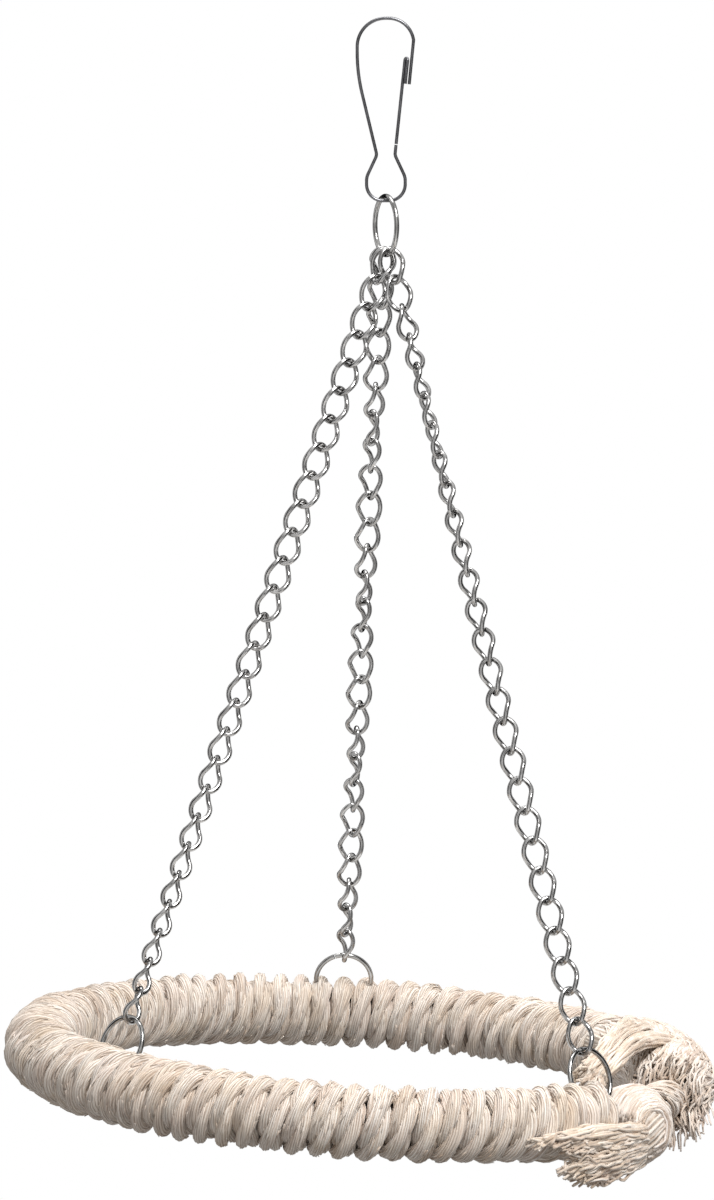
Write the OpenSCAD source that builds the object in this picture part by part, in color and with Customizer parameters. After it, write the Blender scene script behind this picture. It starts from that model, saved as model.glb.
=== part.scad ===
// Rope-wound hoop hung by three curb chains, a jump ring and a wire snap clip
// The origin is the inside top of the clip's bow, where the swing hangs
// X is to the right, Y away from the viewer and Z up

/* [Snap clip] */
// Diameter of the clip's spring wire
clip_wire_d = 0.9; // [0.7:0.05:1.2]
// Radius of the bow, to the middle of the wire
clip_bow_r = 7.95; // [7:0.05:9]
// Height from the middle of the bow's wire to the middle of the lower loop's wire
clip_l = 50.3; // [46:0.1:60]
// Half of the distance between the wires at the waist
clip_waist_half = 2.5; // [2:0.05:3]
// Height of the waist above the bottom of the lower loop
clip_waist_h = 12.6; // [11.5:0.1:15]
// Half of the lower loop's width, to the middle of the wire
clip_loop_half = 5.35; // [5:0.05:6.5]
// Drop from the top of the bow to the kink above its free end
clip_kink_drop = 6; // [5.5:0.1:6.5]
// Drop from the top of the bow to its free end
clip_end_drop = 18.1; // [16:0.1:20]
// Drop from the top of the bow to the top of the gate arm
gate_top_drop = 11.6; // [11:0.1:13]
// Length of the gate arm's bent-back catch
catch_l = 6.4; // [5:0.1:8]
// Distance from the gate arm to its bent-back catch, middle to middle
catch_gap = 1.3; // [1.15:0.05:1.6]

/* [Jump rings] */
// Diameter of the wire of the four jump rings
ring_wire_d = 1.4; // [1.2:0.05:1.7]
// Outer diameter of the four jump rings
ring_d = 17.6; // [16:0.1:20]
// Width of the cut in each jump ring
ring_cut = 0.3; // [0.1:0.05:0.6]
// Turn of the top ring about the vertical
ring_spin = 21.5; // [0:0.5:30]

/* [Chains] */
// Number of links in each chain
links = 27; // [9:2:27]
// Diameter of the chain's wire
link_wire_d = 1.3; // [1.1:0.05:1.4]
// Outer length of a link
link_l = 11.15; // [10.5:0.05:12.5]
// Radius of a link's ends, to the middle of the wire
link_end_r = 2.35; // [2.2:0.05:2.6]
// Twist of a link from its top to its bottom
link_twist = 62; // [54:1:70]
// Free play where one link hangs in the next
link_play = 0.15; // [0.1:0.01:0.2]
// Further play below the first links, for the swing's twist
head_play = 0.4; // [0.3:0.01:0.5]

/* [Hoop] */
// Diameter of the circle along the middle of the hoop
hoop_d = 178; // [150:1:180]
// Diameter of the steel wire inside the hoop
core_d = 4; // [3:0.1:4.5]
// Thickness of the hoop over the rope
hoop_thick = 20.6; // [18:0.1:22]
// Sideways offset of the hoop's centre, pulled by the knots
hoop_shift = -8; // [-10:0.1:0]
// Offset of the hoop's centre away from the viewer
hoop_back = 2; // [0:0.1:4]
// Tilt of the hoop towards its knotted side
hoop_tilt = 3.8; // [0:0.1:5]

/* [Rope] */
// Number of turns of rope round the hoop
wraps = 68; // [60:1:68]
// Angle along the hoop from one turn of rope to the next
wrap_step = 4.12; // [4:0.01:4.16]
// Angle along the hoop of the first turn of rope
first_wrap = 35.2; // [34:0.1:37]
// Least gap between two turns of rope
wrap_gap = 0.5; // [0.45:0.05:0.8]
// Gap between soft rope and what it lies on
rope_gap = 0.3; // [0.25:0.05:0.5]
// Diameter of the two knots
knot_d = 21.6; // [20:0.1:23]
// Length of the lower frayed end
lower_tassel_l = 46; // [30:1:50]

/* [Hidden] */
chain_nodes = 14;
links_a_node = 2;
chain_names = ["left", "middle", "right"];
function two_digits(n) = n < 10 ? str("0", n) : str(n);
function chain_node(side, group) = str(chain_names[side], "_chain_", two_digits(group + 1));

steel = [0.62, 0.62, 0.63];
spring_steel = [0.3, 0.3, 0.31];
cotton = [0.89, 0.84, 0.76];
frayed_cotton = [0.94, 0.9, 0.82];

round_steps = 64;
wire_steps = 32;
// Neighbouring bends of a wire lap into each other, each second one by this much thicker
bend_lap = 0.08;
bend_step = 0.01;
seat_gap = 0.1;

function unit(v) = v / norm(v);
function along(angle) = [cos(angle), sin(angle), 0];
function arc_degrees(length, radius) = length / radius * 180 / PI;

// Turns and moves its children so that their own axes lie along the given directions
module placed(at, x_dir, z_dir) {
    x = unit(x_dir);
    z = unit(z_dir);
    y = cross(z, x);
    multmatrix([
        [x[0], y[0], z[0], at[0]],
        [x[1], y[1], z[1], at[1]],
        [x[2], y[2], z[2], at[2]],
        [0, 0, 0, 1]
    ]) children();
}

// Round wire along the arc that leaves a point in a direction and ends at another point
module wire_arc(from, heading, to, wire_d, lap) {
    chord = to - from;
    turn_axis = unit(cross(heading, chord));
    turn = 2 * acos(min(1, unit(heading) * unit(chord)));
    radius = norm(chord) / 2 / sin(turn / 2);
    inward = cross(turn_axis, unit(heading));
    lap_angle = arc_degrees(lap, radius);
    placed(from + radius * inward, -inward, turn_axis)
        rotate([0, 0, -lap_angle])
            rotate_extrude(angle = turn + 2 * lap_angle, $fn = round_steps)
                translate([radius, 0])
                    circle(d = wire_d, $fn = wire_steps);
}

// Straight round wire from one point to another
module wire_straight(from, to, wire_d, lap) {
    run = unit(to - from);
    side = abs(run[1]) < 0.9 ? [0, 1, 0] : [1, 0, 0];
    placed(from - lap * run, cross(side, run), run)
        cylinder(d = wire_d, h = norm(to - from) + 2 * lap, $fn = wire_steps);
}

// Where a bend of a wire starts and ends, measured from its corner
function bend_reach(points, radii, i) =
    let (a = unit(points[i] - points[i - 1]), b = unit(points[i + 1] - points[i]))
    radii[i] * tan(acos(min(1, a * b)) / 2);
function bend_start(points, radii, i) =
    points[i] - bend_reach(points, radii, i) * unit(points[i] - points[i - 1]);
function bend_end(points, radii, i) =
    points[i] + bend_reach(points, radii, i) * unit(points[i + 1] - points[i]);

// Wire through a row of corner points, with a bend of the given radius at each inner one
module bent_wire(points, radii, wire_d) {
    last = len(points) - 1;
    for (i = [1:last - 1])
        wire_arc(bend_start(points, radii, i), points[i] - points[i - 1],
            bend_end(points, radii, i), wire_d + 2 * bend_step, 0);
    for (i = [0:last - 1])
        wire_straight(
            i == 0 ? points[0] : bend_end(points, radii, i),
            i == last - 1 ? points[last] : bend_start(points, radii, i + 1),
            wire_d,
            bend_lap);
}

// The snap clip's wire lies in the plane of X and Z
clip_top = clip_wire_d / 2;
clip_bottom = clip_top - clip_l;
waist_z = clip_bottom + clip_waist_h;
gate_hinge_h = 2.9;
gate_cut = 0.3;
gate_top_share = 0.66;
gate_top = [clip_bow_r * gate_top_share, 0, clip_top - gate_top_drop];
waist_right = [clip_waist_half, 0, waist_z];
gate_heading = unit(gate_top - waist_right);
gate_hinge = waist_right + gate_hinge_h * gate_heading;

module clip_wire() {
    kink_share = 0.96;
    end_share = 0.81;
    bow_slope_share = 0.81;
    lean_share = 0.3;
    shoulder_h = clip_loop_half + 1.3 * clip_wire_d;
    corners = [
        [clip_bow_r * end_share, 0, clip_top - clip_end_drop],
        [clip_bow_r * kink_share, 0, clip_top - clip_kink_drop],
        [clip_bow_r * bow_slope_share, 0, clip_top],
        [-clip_bow_r, 0, clip_top],
        [-clip_bow_r, 0, clip_top - clip_l * lean_share],
        [-clip_waist_half, 0, waist_z],
        [-clip_loop_half, 0, clip_bottom + shoulder_h],
        [-clip_loop_half, 0, clip_bottom],
        [clip_loop_half, 0, clip_bottom],
        [clip_loop_half, 0, clip_bottom + shoulder_h],
        waist_right,
        gate_hinge - gate_cut / 2 * gate_heading
    ];
    bow_bend_share = 0.985;
    bow_side_bend_share = 0.88;
    lean_bend_share = 6;
    waist_bend_share = 0.95;
    loop_bend_share = 0.84;
    bends = [
        0,
        clip_wire_d,
        clip_bow_r * bow_side_bend_share,
        clip_bow_r * bow_bend_share,
        clip_bow_r * lean_bend_share,
        clip_waist_half * waist_bend_share,
        clip_loop_half * loop_bend_share,
        clip_loop_half * loop_bend_share,
        clip_loop_half * loop_bend_share,
        clip_loop_half * loop_bend_share,
        clip_waist_half * waist_bend_share
    ];
    color(spring_steel)
        bent_wire(corners, bends, clip_wire_d);
}

// The gate arm ends in a catch, bent back in front of the bow's free end
module clip_gate_arm() {
    catch_turn = 55;
    level = cross([0, 1, 0], gate_heading);
    outward = cos(catch_turn) * level - sin(catch_turn) * [0, 1, 0];
    catch_top = gate_top + catch_gap * outward;
    color(spring_steel) {
        wire_straight(gate_hinge + gate_cut / 2 * gate_heading, gate_top, clip_wire_d, 0);
        placed(gate_top + catch_gap / 2 * outward, outward, cross(outward, gate_heading))
            rotate([0, 0, -arc_degrees(bend_lap, catch_gap / 2)])
                rotate_extrude(angle = 180 + 2 * arc_degrees(bend_lap, catch_gap / 2), $fn = round_steps)
                    translate([catch_gap / 2, 0])
                        circle(d = clip_wire_d - 2 * bend_step, $fn = wire_steps);
        wire_straight(catch_top, catch_top - catch_l * gate_heading, clip_wire_d, 0);
    }
}

// A jump ring, standing in the plane of its children's X and Z, cut at an angle from +X
ring_r = (ring_d - ring_wire_d) / 2;
module jump_ring(cut_at) {
    cut_angle = arc_degrees(ring_cut, ring_r);
    rotate([90, 0, 0])
        rotate([0, 0, cut_at + cut_angle / 2])
            rotate_extrude(angle = 360 - cut_angle, $fn = round_steps)
                translate([ring_r, 0])
                    circle(d = ring_wire_d, $fn = wire_steps);
}

ring_near = [sin(ring_spin), -cos(ring_spin), 0];
ring_z = clip_bottom + clip_wire_d / 2 + seat_gap + ring_wire_d / 2 - ring_r;
top_ring_cut_at = 25;
module top_ring() {
    color(steel)
        placed([0, 0, ring_z], ring_near, [0, 0, 1])
            jump_ring(top_ring_cut_at);
}

// Places round the hoop are given in its own tilted frame
hoop_r = hoop_d / 2;
ring_seat = core_d / 2 + rope_gap + ring_wire_d / 2;
link_run = link_l - link_wire_d;
pitch = link_run - link_wire_d - link_play;
chain_head = (ring_wire_d + link_wire_d) / 2 + seat_gap;
chain_ends = link_run - 2 * chain_head + 2 * ring_r + ring_seat;
reach = (links - 1) * pitch - head_play + chain_ends;
apex_z = ring_z - ring_r;
hoop_at = [hoop_shift, hoop_back, apex_z - sqrt(reach * reach - hoop_r * hoop_r)];
function tilted(v) = [
    v[0] * cos(hoop_tilt) + v[2] * sin(hoop_tilt),
    v[1],
    v[2] * cos(hoop_tilt) - v[0] * sin(hoop_tilt)
];
module in_hoop() {
    translate(hoop_at)
        rotate([0, hoop_tilt, 0])
            children();
}

// Each connector hangs on one turn of rope, counted from the first
connector_wraps = [45, 14, wraps + 0.6];
function connector_angle(side) = first_wrap + wrap_step * connector_wraps[side];
function hoop_point(side) = hoop_at + tilted(hoop_r * along(connector_angle(side)));

// The chains start side by side on the bottom of the top ring
head_angle = arc_degrees(link_wire_d + ring_wire_d / 2, ring_r);
head_places = [0.01, -1.24, 1.28];
function chain_start(side) =
    let (angle = head_angle * head_places[side])
    [0, 0, ring_z] + ring_r * (sin(angle) * ring_near - [0, 0, cos(angle)]);
function chain_down(side) = unit(hoop_point(side) - chain_start(side));
function chain_pitch(side) =
    (norm(hoop_point(side) - chain_start(side)) - chain_ends + head_play) / (links - 1);

// The links turn about the chain as it goes down, clockwise as seen from above
first_spins = [33.2, 33.5, 13.1];
second_spins = [7.6, 21.5, -9.1];
head_spin = 13.5;
left_spin = -84;
middle_spin = -28.5;
middle_head_spin = 40;
middle_first_link = 1.6;
right_spin = -193.5;
right_spin_share = 0.4;
function link_spin(side, i) =
    i == 0 ? first_spins[side]
    : i == 1 ? second_spins[side]
    : side == 0 ? head_spin + left_spin * i / (links - 1)
    : side == 1 ? middle_head_spin + middle_spin * max(0, i - middle_first_link)
    : head_spin + right_spin * pow(i / (links - 1), right_spin_share);

// One twisted link, standing along Z with its middle in the plane of X and Z
module chain_link() {
    shoulder = 45;
    thick_d = link_wire_d + 2 * bend_step;
    half_twist = link_twist / 2;
    side = link_end_r * sin(shoulder);
    top = link_run / 2 - link_end_r + link_end_r * cos(shoulder);
    slope_share = side * sin(half_twist) / top;
    lean = atan(slope_share) + asin((slope_share * sin(shoulder)
        + cos(shoulder) * sin(half_twist)) / sqrt(1 + slope_share * slope_share));
    waist = side * cos(half_twist)
        + top * cos(shoulder) * cos(half_twist) / (sin(shoulder) + cos(lean));
    corner = [side * cos(half_twist), side * sin(half_twist), top];
    sink = [cos(shoulder) * cos(half_twist), cos(shoulder) * sin(half_twist), -sin(shoulder)];
    rise = [-sink[0], -sink[1], sink[2]];
    back = [-corner[0], -corner[1], corner[2]];
    under = [corner[0], -corner[1], -corner[2]];
    back_under = [-corner[0], corner[1], -corner[2]];
    wire_arc(back, -rise, corner, thick_d, 0);
    wire_arc(corner, sink, [waist, 0, 0], link_wire_d, bend_lap);
    wire_arc([waist, 0, 0], [0, -sin(lean), -cos(lean)], under, thick_d, 0);
    wire_arc(under, [-sink[0], sink[1], sink[2]], back_under, link_wire_d, bend_lap);
    wire_arc(back_under, [rise[0], -rise[1], -rise[2]], [-waist, 0, 0], thick_d, 0);
    wire_arc([-waist, 0, 0], [0, -sin(lean), cos(lean)], back, link_wire_d, bend_lap);
}

module placed_link(side, i) {
    down = chain_down(side);
    drop = link_run / 2 - chain_head + chain_pitch(side) * i - (i > 0 ? head_play : 0);
    front = unit([0, -1, 0] + down[1] * down);
    facing = cos(link_spin(side, i)) * front + sin(link_spin(side, i)) * cross(down, front);
    placed(chain_start(side) + drop * down, cross(facing, down), -down)
        chain_link();
}

// The first node of a chain is the link on the top ring, and each later one is a pair
module chain_group(side, group) {
    first = group == 0 ? 0 : links_a_node * group - 1;
    last = group == 0 ? 0 : min(links - 1, links_a_node * group);
    color(steel)
        if (first < links)
            for (i = [first:last])
                placed_link(side, i);
}

// A connector stands in the plane of its chain and of the hoop there
module connector(side, cut_at) {
    down = chain_down(side);
    centre = hoop_point(side) - (ring_seat + ring_r) * down;
    tangent = tilted(along(connector_angle(side) + 90));
    color(steel)
        placed(centre, -cross(cross(down, tangent), down), -down)
            jump_ring(cut_at);
}
connector_cuts = [70, 112, 65];
module left_connector() {
    connector(0, connector_cuts[0]);
}
module middle_connector() {
    connector(1, connector_cuts[1]);
}
module right_connector() {
    connector(2, connector_cuts[2]);
}

module hoop_core() {
    color(steel)
        in_hoop()
            rotate_extrude($fn = 2 * round_steps)
                translate([hoop_r, 0])
                    circle(d = core_d, $fn = wire_steps);
}

// The winding is one tube of six sides, with eight sections in each turn round the core
wrap_sections = 8;
wrap_sides = 6;
wrap_phase = 110;
wrap_in = (core_d / 2 + rope_gap) / cos(180 / wrap_sections);
wrap_out = hoop_thick / 2;
wrap_mid = (wrap_in + wrap_out) / 2;
wrap_half = (wrap_out - wrap_in) / 2;
inner_share = (hoop_r - wrap_out) / hoop_r;
wrap_width = hoop_r * wrap_step * PI / 180 - wrap_gap / inner_share;
function wrap_point(section, corner) =
    let (
        turn = section * 360 / wrap_sections,
        round_tube = wrap_phase + turn,
        lie = 360 / wrap_sides * corner,
        out = wrap_mid + wrap_half * cos(lie),
        far = hoop_r + out * cos(round_tube),
        width_share = far / hoop_r,
        across = wrap_width / 2 * width_share * sin(lie) / sin(360 / wrap_sides),
        place = first_wrap + wrap_step * turn / 360
    )
    far * along(place) + across * along(place + 90) + [0, 0, out * sin(round_tube)];
wrap_first = -2;
wrap_last = wraps * wrap_sections;
wrap_points = [
    for (section = [wrap_first:wrap_last])
        for (corner = [0:wrap_sides - 1])
            wrap_point(section, corner)
];
function tube_faces(sections, sides) = concat(
    [for (s = [0:sections - 2]) for (c = [0:sides - 1])
        let (a = s * sides + c, b = s * sides + (c + 1) % sides)
            [a, a + sides, b]],
    [for (s = [0:sections - 2]) for (c = [0:sides - 1])
        let (a = s * sides + c, b = s * sides + (c + 1) % sides)
            [b, a + sides, b + sides]],
    [for (c = [1:sides - 2]) [0, c, c + 1]],
    [for (c = [1:sides - 2])
        let (a = (sections - 1) * sides)
            [a, a + c + 1, a + c]]
);

// Least distance from the leading corners of each turn to the trailing corners of the next
wrap_gaps = [
    for (section = [wrap_first:wrap_last - wrap_sections])
        for (lead = [1, 2])
            for (trail = [4, 5])
                norm(wrap_point(section, lead) - wrap_point(section + wrap_sections, trail))
];
echo(least_gap_between_turns = min(wrap_gaps), turns = wraps);

module rope_winding() {
    color(cotton)
        in_hoop()
            difference() {
                polyhedron(wrap_points, tube_faces(wrap_last - wrap_first + 1, wrap_sides));
                for (side = [0:2])
                    connector_groove(side);
            }
}

// Room in the rope for the part of a connector that it grips, in the hoop's frame
function untilted(v) = [
    v[0] * cos(hoop_tilt) - v[2] * sin(hoop_tilt),
    v[1],
    v[2] * cos(hoop_tilt) + v[0] * sin(hoop_tilt)
];
module connector_groove(side) {
    down = untilted(chain_down(side));
    at = hoop_r * along(connector_angle(side)) - (ring_seat + ring_r) * down;
    tangent = along(connector_angle(side) + 90);
    placed(at, -cross(cross(down, tangent), down), -down)
        rotate([90, 0, 0])
            rotate_extrude($fn = round_steps)
                translate([ring_r, 0])
                    circle(d = ring_wire_d + 2 * rope_gap, $fn = wire_steps);
}

// The far end of the rope is laid along the core, over the start of the winding
upper_knot_at = -12;
lower_knot_at = -33.5;
laid_share = 0.94;
knot_inset = 1;
wrap_start = first_wrap + wrap_step * (wrap_first / wrap_sections - 0.8);
module upper_rope_knot() {
    color(cotton)
        in_hoop()
            difference() {
                union() {
                    rotate([0, 0, upper_knot_at])
                        rotate_extrude(angle = wrap_start - upper_knot_at, $fn = 2 * round_steps)
                            translate([hoop_r, 0])
                                circle(d = hoop_thick * laid_share, $fn = round_steps);
                    translate(hoop_r * along(upper_knot_at + knot_inset))
                        sphere(d = knot_d, $fn = round_steps);
                }
                rotate_extrude($fn = 2 * round_steps)
                    translate([hoop_r, 0])
                        circle(d = core_d + 2 * rope_gap, $fn = wire_steps);
            }
}

// The lower knot sags outwards and down, and its two turns show as two lobes
knot_sag = knot_d * [0.065, 0, -0.12];
lobe_share = 0.82;
lobe_offset = knot_d * [-0.075, -0.1, 0.157];
module lower_rope_knot() {
    color(cotton)
        in_hoop()
            difference() {
                rotate([0, 0, lower_knot_at])
                    translate([hoop_r, 0, 0] + knot_sag)
                        union() {
                            sphere(d = knot_d, $fn = round_steps);
                            translate(lobe_offset)
                                sphere(d = knot_d * lobe_share, $fn = round_steps);
                        }
                rotate_extrude($fn = 2 * round_steps)
                    translate([hoop_r, 0])
                        circle(d = core_d + 2 * rope_gap, $fn = wire_steps);
                connector_groove(2);
            }
}

// A frayed end is a flat bundle of strands that spreads from its root to its tip
tassel_sides = 24;
tassel_sections = 9;
strand_share = 0.13;
spread_power = 0.8;
function strand(share, corner) = 1 + strand_share * share * (corner % 2 == 0 ? 1 : -1);
function spread(share, root, tip) = root + (tip - root) * pow(share, spread_power);
function tassel_share(section) = section / (tassel_sections - 1);
function tassel_angle(corner) = 360 / tassel_sides * corner;

// The upper one crosses the hoop's inside from the laid rope to the right connector
upper_wide = knot_d * [0.16, 0.3];
upper_thin = knot_d * [0.09, 0.056];
upper_sag = knot_d * 0.14;
upper_from = 4;
upper_root_share = 0.968;
upper_tip_share = 0.93;
upper_tip_back = 2;
upper_root_h = hoop_thick / 2 * laid_share + rope_gap + upper_thin[0] * (1 + strand_share);
upper_root = hoop_r * upper_root_share * along(upper_from) + [0, 0, upper_root_h];
upper_tip = hoop_r * upper_tip_share * along(connector_angle(2) - upper_tip_back) + [0, 0, hoop_thick / 2];
upper_side = unit(cross(upper_tip - upper_root, [0, 0, 1]));
function upper_tassel_point(section, corner) =
    let (
        share = tassel_share(section),
        angle = tassel_angle(corner),
        wide = spread(share, upper_wide[0], upper_wide[1]),
        thin = spread(share, upper_thin[0], upper_thin[1]),
        lift = thin * strand(share, corner) * sin(angle) + upper_sag * share * (1 - share)
    )
    upper_root + share * (upper_tip - upper_root)
        + wide * strand(share, corner) * cos(angle) * upper_side
        + [0, 0, lift];

// The lower one lies along the outside of the hoop, below its middle
lower_tall = knot_d * [0.194, 0.4];
lower_thin = knot_d * [0.148, 0.11];
lower_from = 5;
lower_lie = -32;
lower_turn_out = 10;
lower_away = hoop_thick / 2 + rope_gap + lower_thin[0] * (1 + strand_share);
function lower_tassel_point(section, corner) =
    let (
        share = tassel_share(section),
        angle = tassel_angle(corner),
        lie = lower_lie - lower_turn_out * share,
        place = lower_knot_at - lower_from - share * arc_degrees(lower_tassel_l, hoop_r + lower_away),
        out = lower_away + spread(share, lower_thin[0], lower_thin[1]) * strand(share, corner) * cos(angle),
        up = spread(share, lower_tall[0], lower_tall[1]) * strand(share, corner) * sin(angle)
    )
    (hoop_r + out * cos(lie) - up * sin(lie)) * along(place)
        + [0, 0, out * sin(lie) + up * cos(lie)];

function tassel_points(upper) = [
    for (section = [0:tassel_sections - 1])
        for (corner = [0:tassel_sides - 1])
            upper ? upper_tassel_point(section, corner) : lower_tassel_point(section, corner)
];
module upper_tassel() {
    color(frayed_cotton)
        in_hoop()
            difference() {
                polyhedron(tassel_points(true), tube_faces(tassel_sections, tassel_sides));
                connector_groove(2);
            }
}
module lower_tassel() {
    color(frayed_cotton)
        in_hoop()
            polyhedron(tassel_points(false), tube_faces(tassel_sections, tassel_sides));
}

clip_wire();
clip_gate_arm();
top_ring();
for (side = [0:2])
    for (group = [0:chain_nodes - 1])
        chain_group(side, group);
left_connector();
middle_connector();
right_connector();
hoop_core();
rope_winding();
upper_rope_knot();
lower_rope_knot();
upper_tassel();
lower_tassel();
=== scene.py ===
import math
import bpy
import numpy as np
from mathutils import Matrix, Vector


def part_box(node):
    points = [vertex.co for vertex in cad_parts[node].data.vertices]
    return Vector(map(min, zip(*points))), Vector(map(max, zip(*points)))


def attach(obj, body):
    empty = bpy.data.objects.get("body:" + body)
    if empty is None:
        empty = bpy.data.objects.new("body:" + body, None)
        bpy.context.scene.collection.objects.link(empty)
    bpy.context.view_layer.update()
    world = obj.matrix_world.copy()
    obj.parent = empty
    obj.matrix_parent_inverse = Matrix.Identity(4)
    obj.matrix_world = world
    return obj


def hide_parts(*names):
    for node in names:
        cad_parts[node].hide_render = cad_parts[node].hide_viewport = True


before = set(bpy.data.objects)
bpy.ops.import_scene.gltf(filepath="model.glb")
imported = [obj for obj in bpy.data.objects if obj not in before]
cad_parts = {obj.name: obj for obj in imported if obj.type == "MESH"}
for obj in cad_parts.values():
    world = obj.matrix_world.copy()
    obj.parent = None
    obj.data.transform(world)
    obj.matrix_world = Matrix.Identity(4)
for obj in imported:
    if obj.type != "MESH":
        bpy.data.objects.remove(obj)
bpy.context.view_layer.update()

mm = 0.001
metre = 1000                 # mm, for patterns that are sized in mm on object coordinates
tiny = 1e-9                  # keeps a division off zero
upWay = np.array([0, 0, 1.0])
rng = np.random.default_rng(7)

# the hoop in its own flat frame, in mm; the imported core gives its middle
coreLow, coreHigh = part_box("hoop_core")
hoop = {
    "centre": np.array((coreLow + coreHigh) / 2) / mm,
    "radius": 89.0,          # to the middle of the steel core
    "tilt": math.radians(3.8),
    "coreR": 2.0,
    "coreClear": 0.3,        # cotton stays this far off the core
}
connector = {
    "angles": {"left": 220.6, "middle": 92.88, "right": 317.9},    # degrees along the hoop
    "radius": 8.1,           # mm, to the middle of its wire
    "wireR": 0.7,
    "clear": 0.35,           # cotton stays this far off the wire
}


# places round the hoop

def unit(v):
    return v / np.linalg.norm(v, axis=-1, keepdims=True)


def tilted(points, tilt):
    c, s = math.cos(tilt), math.sin(tilt)
    x, y, z = points[..., 0], points[..., 1], points[..., 2]
    return np.stack([x * c + z * s, y, z * c - x * s], axis=-1)


def toModel(points):
    # from the hoop's flat frame to the model's metres
    return (tilted(points, hoop["tilt"]) + hoop["centre"]) * mm


def waysAt(angle):
    a = np.radians(angle)    # the way outwards, and the way on along the hoop
    return np.stack([np.cos(a), np.sin(a), 0 * a], -1), np.stack([-np.sin(a), np.cos(a), 0 * a], -1)


def onHoop(angle, out, up):
    a = np.radians(angle)    # mm outwards and up from the core's middle, at an angle in degrees
    r = hoop["radius"] + out
    return np.stack([r * np.cos(a), r * np.sin(a), up + 0 * a], axis=-1)


def connectorPlane(side):
    # a connector ring's middle, its way up from the core and the hoop's way on there
    low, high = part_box(side + "_connector")
    middle = tilted(np.array((low + high) / 2) / mm - hoop["centre"], -hoop["tilt"])
    angle = connector["angles"][side]
    along = waysAt(angle)[1]
    rise = middle - onHoop(angle, 0, 0)
    rise = rise - along * np.dot(rise, along)
    return middle, rise / np.linalg.norm(rise), along


connectorPlanes = {side: connectorPlane(side) for side in connector["angles"]}


def clearOfRings(points, extra=0.0, sides=("left", "middle", "right")):
    # cotton that a connector ring passes through makes room for its wire
    gap = connector["wireR"] + connector["clear"] + extra
    for side in sides:
        middle, rise, along = connectorPlanes[side]
        d = points - middle
        u, t = d @ rise, d @ along
        w = d - u[..., None] * rise - t[..., None] * along
        flat = np.sqrt(u * u + t * t) + tiny
        off = flat - connector["radius"]
        dist = np.sqrt(off * off + (w * w).sum(-1)) + tiny
        push = np.clip(gap - dist, 0, None) * (dist < gap)
        radial = (u[..., None] * rise + t[..., None] * along) / flat[..., None]
        away = (off[..., None] * radial + w) / dist[..., None]
        points = points + away * push[..., None]
    return points


def clearOfCore(points, yarnD):
    # yarns near the steel ring lie on it, not in it
    gap = hoop["coreR"] + hoop["coreClear"] + yarnD / 2
    r = np.hypot(points[..., 0], points[..., 1])
    out, up = r - hoop["radius"], points[..., 2]
    grow = np.maximum(1.0, gap / (np.hypot(out, up) + tiny))
    share = (hoop["radius"] + out * grow) / r
    return np.stack([points[..., 0] * share, points[..., 1] * share, up * grow], axis=-1)


# paths of rope and yarn

def smoothNoise(count, amount, knots):
    values = np.append(rng.normal(0, amount, knots), 0.0)
    at = np.linspace(0, knots - 1, count)
    low = np.floor(at).astype(int)
    ease = (at - low) ** 2 * (3 - 2 * (at - low))
    return values[low] * (1 - ease) + values[np.minimum(low + 1, knots)] * ease


def curveThrough(points, count):
    points = np.array(points)  # a smooth path through a few points
    padded = np.concatenate([[2 * points[0] - points[1]], points, [2 * points[-1] - points[-2]]])
    at = np.linspace(0, len(points) - 1 - 1e-6, count)
    i = np.floor(at).astype(int)
    k = (at - i)[:, None]
    p0, p1, p2, p3 = padded[i], padded[i + 1], padded[i + 2], padded[i + 3]
    return 0.5 * (2 * p1 + (p2 - p0) * k + (2 * p0 - 5 * p1 + 4 * p2 - p3) * k ** 2
                  + (3 * p1 - p0 - 3 * p2 + p3) * k ** 3)


def wavy(path, amount, bends, atStart):
    # a yarn that strays by some mm, less where it starts
    noise = np.stack([smoothNoise(len(path), amount, bends) for _ in range(3)], -1)
    return path + noise * np.linspace(atStart, 1, len(path))[:, None]


def taper(yarnD, endShare, count):
    return yarnD / 2 * np.linspace(1.0, endShare, count)


def yarnLobes(yarns, sides, power):
    # a bundle's outline: round yarns, up to 0.9, with narrow valleys between them, down to -1.1
    theta = np.linspace(0, 2 * np.pi, sides, endpoint=False)
    return theta, np.abs(np.cos(yarns / 2 * theta)) ** power * 2 - 1.1


def unevenYarns(count, s, bends):
    # each yarn of a bundle swells and thins along it, over all the sides that it has
    noise = np.array([smoothNoise(count, 1.0, bends) for _ in range(s["yarns"])]).T
    return (1 + s["uneven"] * noise)[:, np.arange(s["yarns"] * s["yarnSides"]) // s["yarnSides"]]


def makeLocks(s):
    # yarns fray in locks, and each lock has its own length and strays its own way
    return [(rng.uniform(*s["lockLength"]), rng.normal(0, 1.0), rng.normal(0, s["lockDrop"]))
            for _ in range(s["locks"])]


def edgePoints(places):
    return np.array([onHoop(*place) for place in places])


# meshes

def newPiece(name, points, faces, uvs, tint, body, material):
    mesh = bpy.data.meshes.new(name)
    mesh.from_pydata(points.tolist(), [], faces)
    layer = mesh.uv_layers.new(name="UVMap")
    layer.data.foreach_set("uv", np.asarray(uvs, dtype=np.float32).ravel())
    attribute = mesh.attributes.new("tint", "FLOAT", "POINT")
    attribute.data.foreach_set("value", np.asarray(tint, dtype=np.float32))
    mesh.polygons.foreach_set("use_smooth", [True] * len(mesh.polygons))
    mesh.materials.append(material)
    mesh.update()
    piece = bpy.data.objects.new(name, mesh)
    bpy.context.scene.collection.objects.link(piece)
    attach(piece, body)
    return piece


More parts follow.
